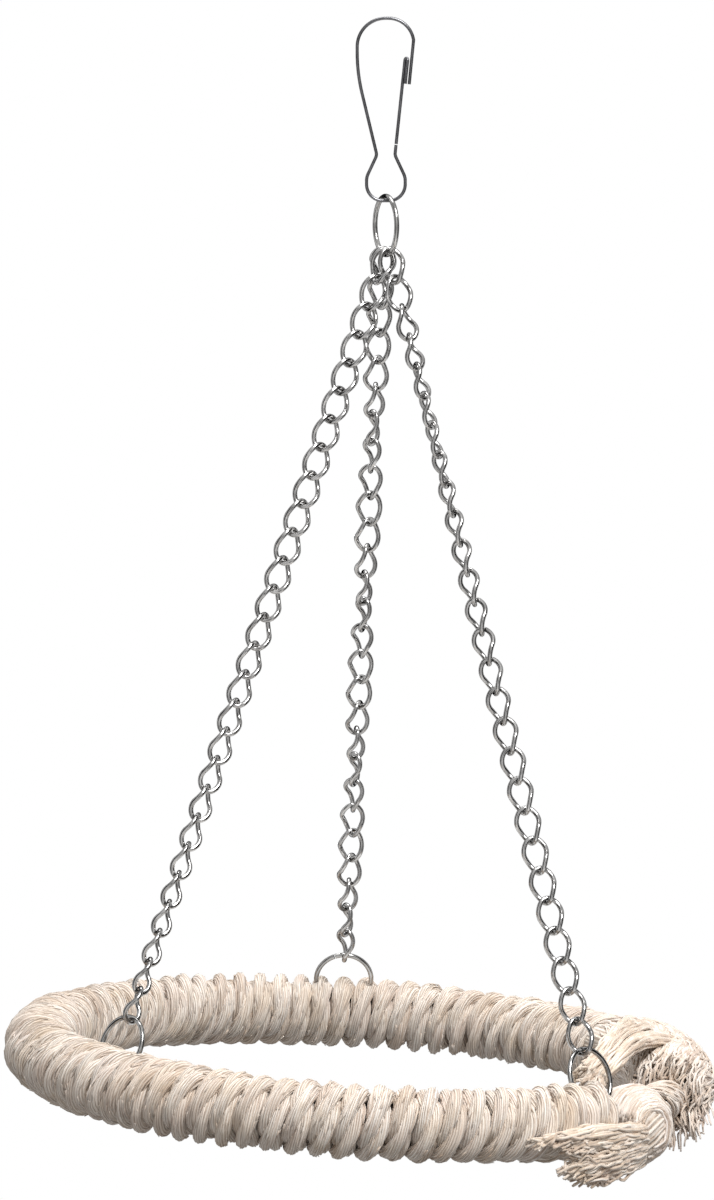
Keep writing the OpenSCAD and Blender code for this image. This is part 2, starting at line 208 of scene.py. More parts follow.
def loftFaces(count, sides, first=0):
    # quads between the rings of a tube and a cap at each end, with u round it and v along it
    faces, uvs = [], []
    for i in range(count - 1):
        a = first + i * sides
        for j in range(sides):
            k = (j + 1) % sides
            faces.append((a + j, a + k, a + sides + k, a + sides + j))
            u0, u1 = j / sides, (j + 1) / sides
            uvs += [(u0, i), (u1, i), (u1, i + 1), (u0, i + 1)]
    faces.append(tuple(first + j for j in reversed(range(sides))))
    uvs += [(j / sides, 0) for j in reversed(range(sides))]
    last = first + (count - 1) * sides
    faces.append(tuple(last + j for j in range(sides)))
    uvs += [(j / sides, count - 1) for j in range(sides)]
    return faces, uvs


def tubeRings(path, radius, sides, firstSide=(0.3, 0.2, 0.9)):
    # a round tube whose sides are carried along the path without twisting
    forward = unit(np.gradient(path, axis=0))
    angle = np.linspace(0, 2 * np.pi, sides, endpoint=False)
    side = np.cross(forward[0], firstSide)
    rings = []
    for i in range(len(path)):
        side = side - forward[i] * np.dot(side, forward[i])
        side = side / np.linalg.norm(side)
        other = np.cross(forward[i], side)
        ring = np.outer(np.cos(angle), side) + np.outer(np.sin(angle), other)
        rings.append(path[i] + radius[i] * ring)
    return np.array(rings)


def strandPiece(name, paths, radii, body, material, sides=5):
    points, faces, uvs, tint = [], [], [], []
    first = 0
    for path, radius in zip(paths, radii):
        newFaces, newUvs = loftFaces(len(path), sides, first)
        points.append(tubeRings(path, radius, sides).reshape(-1, 3))
        faces += newFaces
        uvs += newUvs
        tint += [rng.random()] * (len(path) * sides)
        first += len(path) * sides
    return newPiece(name, toModel(np.concatenate(points)), faces, uvs, tint, body, material)


# materials

def linear(hexColour):
    out = []
    for i in (0, 2, 4):
        c = int(hexColour[i:i + 2], 16) / 255
        out.append(c / 12.92 if c <= 0.04045 else ((c + 0.055) / 1.055) ** 2.4)
    return (*out, 1.0)


def addNode(tree, kind, settings=None, links=None):
    node = tree.nodes.new(kind)  # settings set a property or an unlinked socket, links feed a socket
    for key, value in (settings or {}).items():
        if isinstance(key, int) or key in node.inputs:
            node.inputs[key].default_value = value
        else:
            setattr(node, key, value)
    for key, source in (links or {}).items():
        tree.links.new(source, node.inputs[key])
    return node


def newMaterial(name):
    material = bpy.data.materials.new(name)
    material.use_nodes = True
    material.node_tree.nodes.clear()
    return material, material.node_tree


def rampColours(node, stops):
    ramp = node.color_ramp
    while len(ramp.elements) > 1:
        ramp.elements.remove(ramp.elements[-1])
    ramp.elements[0].position = stops[0][0]
    ramp.elements[0].color = linear(stops[0][1])
    for place, colour in stops[1:]:
        ramp.elements.new(place).color = linear(colour)


cottonFinish = {
    # the yarns' colours: painted shade in the valleys and on the slopes, the cotton's own colour, then a
    # painted highlight on the crowns
    "grooveShade": "8a7a6d",      # painted shade in the valleys between yarns
    "slopeShade": "d4c8bd",
    "yarn": "efe7df",        # undyed cotton, a little pink and grey
    "crownHighlight": "faf7f3",       # painted highlight on the yarns' tops, the palest
    "shadePlaces": {"grooveShade": -1.0, "slopeShade": -0.45, "yarn": 0.1, "crownHighlight": 0.8},
    "spread": 0.3,           # how far apart these places lie in the pattern
    "yarnWidth": 0.7,        # mm, drawn a little coarse so that it shows
    "lengthwise": 0.1,       # the pattern is ten times as long as wide
    "oneBand": 0.31416,      # the wave scale at which a yarn takes one unit
    "wander": 1.3,           # yarn widths that a drawn yarn strays
    "fluff": 0.62,           # how much loose fibre there is over the yarns' round forms
    "fibreSize": 0.5,        # mm
    "patchSize": 9.0,        # mm, faint dust and dye patches
    "patches": [(0.3, "f2ebe2"), (0.5, "fcfaf8"), (0.7, "f4eeeb")],
    "tints": [(0.0, "ddd3c9"), (0.25, "eee7e0"), (0.6, "faf8f5"), (1.0, "ffffff")],    # from yarn to yarn
    "roughness": (0.86, 0.98),
    "sheen": 0.2,
    "specular": 0.2,
    "bump": 0.9,
}
frayedFinish = cottonFinish | {"grooveShade": "ab9c8f", "slopeShade": "ddd3ca", "yarn": "efe8e2", "crownHighlight": "f9f6f3"}
# painted light: a paler copy of the cotton, so that the tassels' strands look brightly lit all round
tasselLitFinish = cottonFinish | {"grooveShade": "aa9a8a", "slopeShade": "dcd1c4", "yarn": "ebe2d9", "crownHighlight": "f6f2ec"}


def cottonMaterial(name, yarnsRound, ringMm, bumpMm, contrast=1.0, c=cottonFinish):
    # spun cotton yarn: matt, it scatters light, with a faint sheen of loose fibre at its edges
    material, tree = newMaterial(name)
    place = addNode(tree, "ShaderNodeTexCoord")
    yarnsAlong = ringMm / c["yarnWidth"] * c["lengthwise"]
    uv = addNode(tree, "ShaderNodeMapping", {"Scale": (yarnsRound, yarnsAlong, 1)},
                 {"Vector": place.outputs["UV"]})
    wobble = addNode(tree, "ShaderNodeTexNoise", {"Scale": 0.5, "Detail": 2.0}, {"Vector": uv.outputs[0]})
    bent = addNode(tree, "ShaderNodeVectorMath", {"operation": "MULTIPLY_ADD", 1: (c["wander"], 0.0, 0.0)},
                   {0: wobble.outputs["Color"], 2: uv.outputs[0]})
    wave = addNode(tree, "ShaderNodeTexWave", {"wave_type": "BANDS", "bands_direction": "X",
                   "Scale": c["oneBand"], "Distortion": 1.4, "Detail": 2.0, "Detail Scale": 1.5},
                   {"Vector": bent.outputs[0]})
    streak = addNode(tree, "ShaderNodeTexNoise", {"Scale": 1.7, "Detail": 4.0, "Roughness": 0.62},
                     {"Vector": bent.outputs[0]})
    yarn = addNode(tree, "ShaderNodeMix", {"data_type": "FLOAT", 0: c["fluff"]},
                   {2: wave.outputs["Fac"], 3: streak.outputs["Fac"]})
    patch = addNode(tree, "ShaderNodeTexNoise", {"Scale": metre / c["patchSize"], "Detail": 3.0},
                    {"Vector": place.outputs["Object"]})
    fibre = addNode(tree, "ShaderNodeTexNoise", {"Scale": metre / c["fibreSize"], "Detail": 3.0},
                    {"Vector": place.outputs["Object"]})
    tint = addNode(tree, "ShaderNodeAttribute", {"attribute_name": "tint"})
    spread = c["spread"] * contrast
    # the yarn pattern's colour: painted shade at its low values, between the yarns, and a painted highlight
    # at its high values, on their crowns
    yarnColour = addNode(tree, "ShaderNodeValToRGB", None, {"Fac": yarn.outputs[0]})
    rampColours(yarnColour, [(0.5 + spread * at, c[shade]) for shade, at in c["shadePlaces"].items()])
    patchColour = addNode(tree, "ShaderNodeValToRGB", None, {"Fac": patch.outputs["Fac"]})
    rampColours(patchColour, c["patches"])
    tintColour = addNode(tree, "ShaderNodeValToRGB", None, {"Fac": tint.outputs["Fac"]})
    rampColours(tintColour, c["tints"])
    patched = addNode(tree, "ShaderNodeMix", {"data_type": "RGBA", "blend_type": "MULTIPLY", 0: 1.0},
                      {6: yarnColour.outputs[0], 7: patchColour.outputs[0]})
    colour = addNode(tree, "ShaderNodeMix", {"data_type": "RGBA", "blend_type": "MULTIPLY", 0: 1.0},
                     {6: patched.outputs[2], 7: tintColour.outputs[0]})
    rough = addNode(tree, "ShaderNodeMapRange", {"To Min": c["roughness"][0], "To Max": c["roughness"][1]},
                    {"Value": fibre.outputs["Fac"]})
    height = addNode(tree, "ShaderNodeMath", {"operation": "MULTIPLY_ADD", 1: 0.25},
                     {0: fibre.outputs["Fac"], 2: yarn.outputs[0]})
    bump = addNode(tree, "ShaderNodeBump", {"Strength": c["bump"], "Distance": bumpMm * mm},
                   {"Height": height.outputs[0]})
    shader = addNode(tree, "ShaderNodeBsdfPrincipled",
                     {"Sheen Weight": c["sheen"], "Sheen Roughness": 0.5,
                      "Specular IOR Level": c["specular"]},
                     {"Base Color": colour.outputs[2], "Roughness": rough.outputs[0],
                      "Normal": bump.outputs[0]})
    addNode(tree, "ShaderNodeOutputMaterial", None, {"Surface": shader.outputs[0]})
    return material


def steelMaterial(name, settings):
    # plated or drawn steel: bright, with fine drawing marks and a slightly uneven polish
    material, tree = newMaterial(name)
    place = addNode(tree, "ShaderNodeTexCoord")
    grain = addNode(tree, "ShaderNodeTexNoise", {"Scale": metre / settings["grainMm"], "Detail": 4.0},
                    {"Vector": place.outputs["Object"]})
    cloud = addNode(tree, "ShaderNodeTexNoise", {"Scale": metre / settings["cloudMm"], "Detail": 2.0},
                    {"Vector": place.outputs["Object"]})
    colour = addNode(tree, "ShaderNodeValToRGB", None, {"Fac": cloud.outputs["Fac"]})
    rampColours(colour, [(0.3, settings["dark"]), (0.7, settings["light"])])
    rough = addNode(tree, "ShaderNodeMapRange",
                    {"To Min": settings["rough"][0], "To Max": settings["rough"][1]},
                    {"Value": grain.outputs["Fac"]})
    bump = addNode(tree, "ShaderNodeBump", {"Strength": 0.25, "Distance": settings["bumpMm"] * mm},
                   {"Height": grain.outputs["Fac"]})
    shader = addNode(tree, "ShaderNodeBsdfPrincipled", {"Metallic": 1.0},
                     {"Base Color": colour.outputs[0], "Roughness": rough.outputs[0],
                      "Normal": bump.outputs[0]})
    addNode(tree, "ShaderNodeOutputMaterial", None, {"Surface": shader.outputs[0]})
    return material


# the metal parts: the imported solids, with better finishes

metalFinishes = {
    # tumbled and plated chain wire: near a mirror, with small clouds
    "nickelPlatedSteel": {"dark": "8c8b8a", "light": "b8b7b6", "rough": (0.08, 0.22),
                          "grainMm": 0.35, "cloudMm": 3.0, "bumpMm": 0.03},
    # the jump rings' wire, plated the same and a little darker
    "nickelPlatedRingSteel": {"dark": "828180", "light": "b3b2b0", "rough": (0.08, 0.2),
                              "grainMm": 0.4, "cloudMm": 4.0, "bumpMm": 0.02},
    # bare hard-drawn wire: dark, with softer highlights
    "drawnSpringSteel": {"dark": "5a5a5c", "light": "77777a", "rough": (0.2, 0.36),
                         "grainMm": 0.25, "cloudMm": 5.0, "bumpMm": 0.02},
    # plain drawn rod: grey and dull
    "drawnSteelRod": {"dark": "77777a", "light": "8f8f92", "rough": (0.3, 0.45),
                      "grainMm": 0.3, "cloudMm": 6.0, "bumpMm": 0.03},
}
metals = {name: steelMaterial(name, finish) for name, finish in metalFinishes.items()}
metalOfPart = {
    "clip": "drawnSpringSteel",
    "top_ring": "nickelPlatedRingSteel",
    "chain": "nickelPlatedSteel",
    "connector": "nickelPlatedRingSteel",
    "hoop_core": "drawnSteelRod",
}
for name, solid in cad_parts.items():
    for part, metal in metalOfPart.items():
        if part in name:
            solid.data.materials.clear()
            solid.data.materials.append(metals[metal])
            solid.data.polygons.foreach_set("use_smooth", [True] * len(solid.data.polygons))
print("metal parts finished")


# the rope wound round the hoop: three plies, twisted to the right

winding = {
    "turns": 68,
    "step": 4.12,            # degrees along the hoop for one turn
    "first": 35.2,           # degrees along the hoop
    "phase": 110.0,          # degrees round the core where a turn starts
    "pastEnds": (-0.25, 0.02),   # turns that the rope runs on before the first and after the last
    "inner": 2.5,            # mm from the core's middle
    "outer": 10.25,
    "width": 6.45,           # mm along the hoop, where the rope is squeezed by its neighbours
    "ringsPerTurn": 30,
    "slack": 0.22,           # mm that the turns stray out from the core, of which a share shows
    "slackShare": 0.6,
    "drift": 0.25,           # mm that they stray along the hoop
    "plies": 3,
    "twistPerTurn": 1.32,    # turns of the plies in one turn round the core
    "twistStray": 0.3,       # radians
    "plyShare": (0.46, 0.48),    # how far a ply lies from the rope's middle, out and along
    "plySize": (0.59, 0.58),
    "plyRoll": 0.35,         # how much a ply turns about itself as the plies twist
    "rollStray": 0.08,       # radians
    "yarns": 9,              # yarns that show round a ply
    "yarnSides": 3,
    "yarnDepth": 0.1,
    "yarnRound": 0.8,
    "uneven": 0.035,
    "tint": (0.5, 0.2),      # the plies' middle tint, and how much it changes along them
    "strands": 5200,         # loose single yarns on the rope's skin
    "strandD": 0.36,
    "strandClear": 0.2,
    "strandRings": (5, 13),
    "strandLie": 1.9,        # radians each way round the ply, on its outer side
    "strandSlant": 0.35,
    "strandStray": (0.1, 4),     # radians, and bends
    "strandEnd": (0.5, 1.0),     # how thin it gets, as a share
    "strandLift": (0.05, 0.16),  # how far it stands off, all along and at its ends
}
ropeMaterial = cottonMaterial("twistedCottonRope", yarnsRound=winding["yarns"] * 2.0, ringMm=1.3, bumpMm=0.6,
                              contrast=1.1)
skinMaterial = cottonMaterial("looseCottonYarn", yarnsRound=2.0, ringMm=3.0, bumpMm=0.05, contrast=1.1)


def ropePath(s):
    # the rope's middle turn by turn, with the room it has out from the core and along the hoop
    t = np.arange(s["pastEnds"][0], s["turns"] + s["pastEnds"][1], 1 / s["ringsPerTurn"])
    core = np.radians(s["phase"] + 360 * t)
    out, along = waysAt(s["first"] + s["step"] * t)
    outward = np.cos(core)[:, None] * out + np.sin(core)[:, None] * upWay
    middle = (s["outer"] + s["inner"]) / 2
    slack = smoothNoise(len(t), s["slack"], s["turns"] * 3)
    drift = smoothNoise(len(t), s["drift"], s["turns"] * 2)
    reach = middle + slack * s["slackShare"]
    share = (hoop["radius"] + middle * np.cos(core)) / hoop["radius"]
    return {
        "centre": hoop["radius"] * out + reach[:, None] * outward + drift[:, None] * along,
        "outward": outward,
        "along": along,
        "half": (s["outer"] - s["inner"]) / 2,
        "wide": s["width"] / 2 * share,
        "twist": 2 * np.pi * s["twistPerTurn"] * t + smoothNoise(len(t), s["twistStray"], s["turns"]),
    }


def windRope(s, path):
    outward, along, half, wide = path["outward"], path["along"], path["half"], path["wide"]
    count, sides = len(wide), s["yarns"] * s["yarnSides"]
    theta, lobes = yarnLobes(s["yarns"], sides, s["yarnRound"])
    points, faces, uvs, tint, plyCentres = [], [], [], [], []
    for ply in range(s["plies"]):
        beta = path["twist"] + ply * 2 * np.pi / s["plies"]
        centre = (path["centre"] + (s["plyShare"][0] * half * np.cos(beta))[:, None] * outward
                  + (s["plyShare"][1] * wide * np.sin(beta))[:, None] * along)
        size = (1 + s["yarnDepth"] * lobes[None, :]) * unevenYarns(count, s, s["turns"] * 2)
        roll = s["plyRoll"] * beta + smoothNoise(count, s["rollStray"], s["turns"] * 5)
        spin = theta[None, :] - roll[:, None]
        ring = (centre[:, None, :]
                + (s["plySize"][0] * half * size * np.cos(spin))[..., None] * outward[:, None, :]
                + (s["plySize"][1] * wide[:, None] * size * np.sin(spin))[..., None] * along[:, None, :])
        newFaces, newUvs = loftFaces(count, sides, ply * count * sides)
        points.append(clearOfRings(ring).reshape(-1, 3))
        faces += newFaces
        uvs += newUvs
        shade = s["tint"][0] + smoothNoise(count, s["tint"][1], s["turns"] * 2)
        tint += np.repeat(shade, sides).tolist()
        plyCentres.append(centre)
    points = toModel(np.concatenate(points))
    rope = newPiece("wound_rope", points, faces, uvs, tint, "hung_hoop", ropeMaterial)
    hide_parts("rope_winding")
    return plyCentres


def layStrands(s, path, plyCentres):
    # single yarns that lie along a ply, cross its yarns a little and lift at their ends
    outward, along, half, wide = path["outward"], path["along"], path["half"], path["wide"]
    paths, radii = [], []
    for _ in range(s["strands"]):
        ply = rng.integers(s["plies"])
        count = rng.integers(*s["strandRings"])
        start = rng.integers(0, len(wide) - count)
        k = slice(start, start + count)
        lie = (rng.uniform(-s["strandLie"], s["strandLie"])
               + np.linspace(0, rng.normal(0, s["strandSlant"]), count)
               + smoothNoise(count, *s["strandStray"]))
        lift = (1.0 + s["strandLift"][0] * rng.random()
                + rng.uniform(0, s["strandLift"][1]) * np.linspace(-1, 1, count) ** 4)
        paths.append(clearOfRings(
            plyCentres[ply][k] + (s["plySize"][0] * half * lift * np.cos(lie))[:, None] * outward[k]
            + (s["plySize"][1] * wide[k] * lift * np.sin(lie))[:, None] * along[k], s["strandClear"]))
        radii.append(taper(s["strandD"], rng.uniform(*s["strandEnd"]), count))
    skin = strandPiece("wound_rope_yarns", paths, radii, "hung_hoop", skinMaterial, 3)
    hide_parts("rope_winding")


woundPath = ropePath(winding)
layStrands(winding, woundPath, windRope(winding, woundPath))
print("rope wound round the hoop")


# the rope's far end, laid along the core and untwisted

laid = {
    "from": 34.4,            # degrees along the hoop
    "to": -12.0,
    "loosenOver": 12.0,      # degrees, from where the winding holds it to where it is free
    "radius": 11.2,
    "start": 9.3,            # mm, where the winding still holds it
    "lift": 0.9,             # mm that the loose rope lies higher than the core
    "rings": 70,
    "yarns": 34,
    "yarnSides": 3,
    "yarnDepth": 0.05,
    "yarnRound": 0.7,
    "uneven": 0.022,
    "unevenBends": 10,
    "lean": 38.0,            # degrees that the yarns turn round the bundle
    "swell": (0.03, 3, 4),   # how much, how often round it, and radians that this turns along it
    "lastShare": 0.1,        # the last tenth rounds off, to 0.4 of the radius and a little more
    "endShare": 0.4,
    "endRound": 0.95,
    "tint": 0.6,
}
laidMaterial = cottonMaterial("untwistedCottonBundle", yarnsRound=laid["yarns"] * 1.5, ringMm=1.2,
                              bumpMm=0.4, contrast=1.1)
yarnMaterial = cottonMaterial("frayedCottonYarn", yarnsRound=2.0, ringMm=3.0, bumpMm=0.08, contrast=1.2,
                              c=frayedFinish)
# the tassels' yarn, made paler as painted light
tasselMaterial = cottonMaterial("frayedTasselYarn", yarnsRound=2.0, ringMm=3.0, bumpMm=0.08, contrast=1.2,
                                c=tasselLitFinish)


def looseness(angle):
    return np.clip((laid["from"] - angle) / laid["loosenOver"], 0, 1)


def laidRadius(angle):
    loose = looseness(angle)
    return laid["start"] + (laid["radius"] - laid["start"]) * loose * (2 - loose)


def onLaid(angle, radius, turn):
    return onHoop(angle, radius * np.cos(turn), radius * np.sin(turn) + laid["lift"] * looseness(angle))


def layRope(s):
    angles = np.linspace(s["from"], s["to"], s["rings"])
    progress = np.linspace(0, 1, s["rings"])
    sides = s["yarns"] * s["yarnSides"]
    theta, lobes = yarnLobes(s["yarns"], sides, s["yarnRound"])
    late = np.clip((progress - (1 - s["lastShare"])) / s["lastShare"], 0, 1)
    rounded = s["endShare"] + (1 - s["endShare"]) * np.sqrt(1 - s["endRound"] * late ** 2)
    size = (laidRadius(angles) * rounded)[:, None] * (1 + s["yarnDepth"] * lobes[None, :])
    size = size * unevenYarns(s["rings"], s, s["unevenBends"])
    spin = theta[None, :] + np.radians(s["lean"] * progress)[:, None]
    deep, often, turning = s["swell"]
    swell = 1 + deep * np.sin(often * spin + turning * progress[:, None])
    points = onLaid(angles[:, None] + 0 * spin, size * swell, spin)
    faces, uvs = loftFaces(s["rings"], sides)
    tint = [s["tint"]] * (s["rings"] * sides)
    points = toModel(points.reshape(-1, 3))
    rope = newPiece("laid_rope_end", points, faces, uvs, tint, "hung_hoop", laidMaterial)
    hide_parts("upper_rope_knot")


looseYarns = {
    "yarns": 420,
    "yarnD": 0.7,
    "rings": 22,
    "start": (10, 38),       # degrees along the hoop
    "length": (18, 34),
    "leanOver": 49.4,        # degrees along the hoop in which a yarn turns by the bundle's lean
    "standOff": 0.1,         # mm
    "arch": 0.4,             # mm more in its middle
    "dive": 0.9,             # mm that its ends go into the bundle
    "divePower": 0.3,        # how short the dive is
    "turnStray": (0.07, 5),  # radians, and bends
    "riseStray": (0.16, 6),  # mm, and bends
    "wriggle": (0.05, 9),    # radians, and bends
}


def layLooseYarns(s):
    # single yarns that lie on the bundle and wander a little, so that it reads as yarn
    paths, radii = [], []
    count = s["rings"]
    steps = np.linspace(0, 1, count)
    arch = np.sin(np.pi * steps)
    for _ in range(s["yarns"]):
        angle = rng.uniform(0, 2 * np.pi)
        start = rng.uniform(*s["start"])
        end = max(start - rng.uniform(*s["length"]), laid["to"])
        places = start + (end - start) * steps
        lean = np.radians(laid["lean"]) * (laid["from"] - places) / s["leanOver"]
        turn = angle + lean + smoothNoise(count, *s["turnStray"])
        rise = laidRadius(places) + s["standOff"] + s["arch"] * arch + smoothNoise(count, *s["riseStray"])
        rise = rise - s["dive"] * (1 - arch ** s["divePower"])
        paths.append(onLaid(places, rise, turn + smoothNoise(count, *s["wriggle"])))
        radii.append(taper(s["yarnD"], 1.0, count))
    loose = strandPiece("laid_rope_yarns", paths, radii, "hung_hoop", yarnMaterial)
    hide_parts("upper_rope_knot")


frayedEdge = {
    "yarns": 380,
    "yarnD": 0.85,
    "rings": 16,
    "from": -4.0,            # degrees along the hoop, inside the laid rope
    "edge": -11.5,           # where it opens
    "past": -12.5,
    "length": (5.0, 12.5),   # mm
    "lowerLonger": (1.1, 0.8),   # shares of it on the lower and the upper side
    "outerLonger": (0.75, 0.25),     # shares of it in the middle, and more towards the skin
    "section": (0.09, 1),    # the part of the bundle's section that the yarns fill
    "within": 0.97,          # how far out they start, as a share
    "reach": (0.35, 0.5),    # degrees for each mm of length, halfway and at the end
    "flare": (0.9, 1.12),
    "drop": (0.8, 1.4),      # mm, halfway and at the end
    "dropShare": 0.36,       # of the length
    "endShare": 0.6,
    "stray": (0.5, 6, 0.15),     # mm, bends, and the share of it at the start
    "locks": 13,
    "lockStray": (1.2, 1.6, 1.2),    # degrees along the hoop, mm out and up
    "curls": 160,            # yarns that curl round the steel ring, up to the lower knot
    "curlRings": 18,
    "curlFrom": (-16, -8),   # degrees along the hoop
    "curlRun": (8, 15),
    "curlEnd": -25.8,
    "curlTurn": (1.5, 4.0),  # radians
    "curlRadius": (2.9, 5.4),    # mm from the core's middle
    "curlStray": (0.4, 5),   # mm, and bends
    "curlShare": 0.7,
}


def frayEdge(s):
    paths, radii = [], []
    locks = [rng.uniform(-1, 1, 3) * s["lockStray"] for _ in range(s["locks"])]
    for _ in range(s["yarns"]):
        angle = rng.uniform(0, 2 * np.pi)
        lock = locks[int(angle / (2 * np.pi) * s["locks"]) % s["locks"]]
        share = math.sqrt(rng.uniform(*s["section"]))
        r = laid["radius"] * share
        out, up = math.cos(angle), math.sin(angle) + laid["lift"] / laid["radius"]
        length = rng.uniform(*s["length"]) * s["lowerLonger"][0 if up < 0 else 1]
        length = length * (s["outerLonger"][0] + s["outerLonger"][1] * share)
        flare = rng.uniform(*s["flare"])
        path = curveThrough([
            onHoop(s["from"], r * s["within"] * out, r * s["within"] * up),
            onHoop(s["edge"], r * out, r * up),
            onHoop(s["past"] - length * s["reach"][0], r * flare * out, r * flare * up - s["drop"][0]),
            onHoop(s["past"] - length * s["reach"][1] + lock[0], r * flare * out + lock[1],
                   r * flare * up - s["drop"][1] - length * s["dropShare"] + lock[2]),
        ], s["rings"])
        paths.append(clearOfCore(wavy(path, *s["stray"]), s["yarnD"]))
        radii.append(taper(s["yarnD"], s["endShare"], s["rings"]))
    for _ in range(s["curls"]):
        count = s["curlRings"]
        start = rng.uniform(*s["curlFrom"])
        places = np.maximum(np.linspace(start, start - rng.uniform(*s["curlRun"]), count), s["curlEnd"])
        turn = rng.uniform(0, 2 * np.pi) + np.linspace(0, rng.uniform(*s["curlTurn"]), count)
        far = rng.uniform(*s["curlRadius"]) + smoothNoise(count, *s["curlStray"])
        paths.append(clearOfCore(onHoop(places, far * np.cos(turn), far * np.sin(turn)), s["yarnD"]))
        radii.append(taper(s["yarnD"], s["curlShare"], count))
    edge = strandPiece("laid_rope_frayed_edge", paths, radii, "hung_hoop", yarnMaterial)
    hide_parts("upper_rope_knot")


layRope(laid)
layLooseYarns(looseYarns)
frayEdge(frayedEdge)
print("laid rope end made")


# the upper frayed end: yarns pulled across the hoop to the right connector

upperTassel = {
    "yarns": 190,
    "yarnD": 1.0,
    "rings": 40,
    "fewestRings": 26,
    "trim": (0.93, 1.03),    # a yarn's length within its lock
    "stray": (0.6, 10, 0.2),     # mm, bends, and the share of it at the start
    "endShare": 0.7,
    "depth": 2.6,            # mm from the top to the bottom of the fan
    "clear": 0.5,
    "locks": 9,
    "lockLength": (0.86, 1.0),
    "lockDrop": 1.2,
    "swayShare": 0.5,        # how much of its lock's sway a yarn has up and down
    # (degrees along the hoop, mm out, mm up) along the fan's outer and inner edge
    "outer": [(14.0, 2.0, 6.0), (5.0, 1.5, 9.5), (-4.0, -3.4, 12.6), (-13.0, -8.0, 13.4),
              (-26.0, -8.7, 11.2), (-36.5, -5.8, 8.0), (-43.0, -3.2, 5.6)],
    "inner": [(34.0, -1.0, 7.0), (27.0, -4.0, 10.6), (17.0, -10.5, 13.0), (3.0, -17.5, 13.6),
              (-14.0, -19.5, 12.6), (-30.0, -17.0, 11.0), (-42.0, -12.1, 9.0)],
}


def frayUpperEnd(s):
    outer, inner = edgePoints(s["outer"]), edgePoints(s["inner"])
    paths, radii = [], []
    locks = makeLocks(s)
    for _ in range(s["yarns"]):
        k = rng.uniform(0, 1)        # from the outer to the inner side of the fan
        layer = rng.uniform(0, 1)
        length, sway, drop = locks[min(s["locks"] - 1, int(k * s["locks"]))]
        control = outer * (1 - k) + inner * k
        control = control + upWay * (s["depth"] * layer - s["depth"] / 2 + sway * s["swayShare"])
        control[-1] = control[-1] + np.array([sway, 0.0, drop])
        path = curveThrough(control, s["rings"])
        path = path[:max(s["fewestRings"], int(s["rings"] * length * rng.uniform(*s["trim"])))]
        path = clearOfRings(wavy(path, *s["stray"]), s["clear"], ("right",))
        paths.append(clearOfCore(path, s["yarnD"]))
        radii.append(taper(s["yarnD"], s["endShare"], len(path)))
    tassel = strandPiece("upper_frayed_yarns", paths, radii, "hung_hoop", tasselMaterial)
    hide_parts("upper_tassel")


frayUpperEnd(upperTassel)
print("upper frayed end made")


# the lower knot: a ball of rope under turns of loose yarn

lowerKnot = {
    "angle": -33.5,          # degrees along the hoop
    "centre": (1.1, -3.2),   # mm out from the core's middle, and up
    "radius": 10.3,
    "pole": (0.8, 0.6),      # the ball's pole points on along the hoop, and out
    "rings": 44,
    "yarns": 26,
    "yarnSides": 4,
    "yarnDepth": 0.035,
    "yarnRound": 0.7,
    "swirl": 0.8,            # radians that the yarns turn towards each pole
    "openPole": 0.07,
    "turns": 300,            # loose yarns wound over the ball
    "turnD": 0.85,
    "turnRings": 26,
    "turnSpread": 0.9,       # how far to the ball's sides they go
    "turnClear": 0.4,
    "turnLie": (0.99, 1.045),    # how far out they lie, as a share of the radius
    "turnFrom": (-1.25, 0.1),    # radians round the ball, and how they vary
    "turnTo": (2.9, 0.15),
    "turnAxis": (0.92, 0.1, -0.25),  # out, up and on along the hoop
    "axisStray": 0.05,
    "turnStray": (0.28, 9, 0.6),
    "tint": 0.55,
}
ballMaterial = cottonMaterial("knottedCottonRope", yarnsRound=lowerKnot["yarns"] * 1.5, ringMm=1.2,
                              bumpMm=0.3)
knotAt = onHoop(lowerKnot["angle"], *lowerKnot["centre"])
knotOut, knotOn = waysAt(lowerKnot["angle"])


def tieBall(s):
    sides = s["yarns"] * s["yarnSides"]
    theta, lobes = yarnLobes(s["yarns"], sides, s["yarnRound"])
    pole = knotOn * s["pole"][0] + knotOut * s["pole"][1]
    side = np.cross(pole, upWay)
    points = np.zeros((s["rings"], sides, 3))
    for i, lat in enumerate(np.linspace(s["openPole"], math.pi - s["openPole"], s["rings"])):
        turn = theta + s["swirl"] * math.cos(lat)
        r = s["radius"] * math.sin(lat) * (1 + s["yarnDepth"] * lobes)
        points[i] = (knotAt + np.outer(r * np.cos(turn), upWay) - np.outer(r * np.sin(turn), side)
                     + s["radius"] * math.cos(lat) * pole)
    points = toModel(clearOfRings(points, 0.0, ("right",)).reshape(-1, 3))
    faces, uvs = loftFaces(s["rings"], sides)
    tint = [s["tint"]] * (s["rings"] * sides)
    ball = newPiece("lower_knot", points, faces, uvs, tint, "hung_hoop", ballMaterial)
    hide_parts("lower_rope_knot")


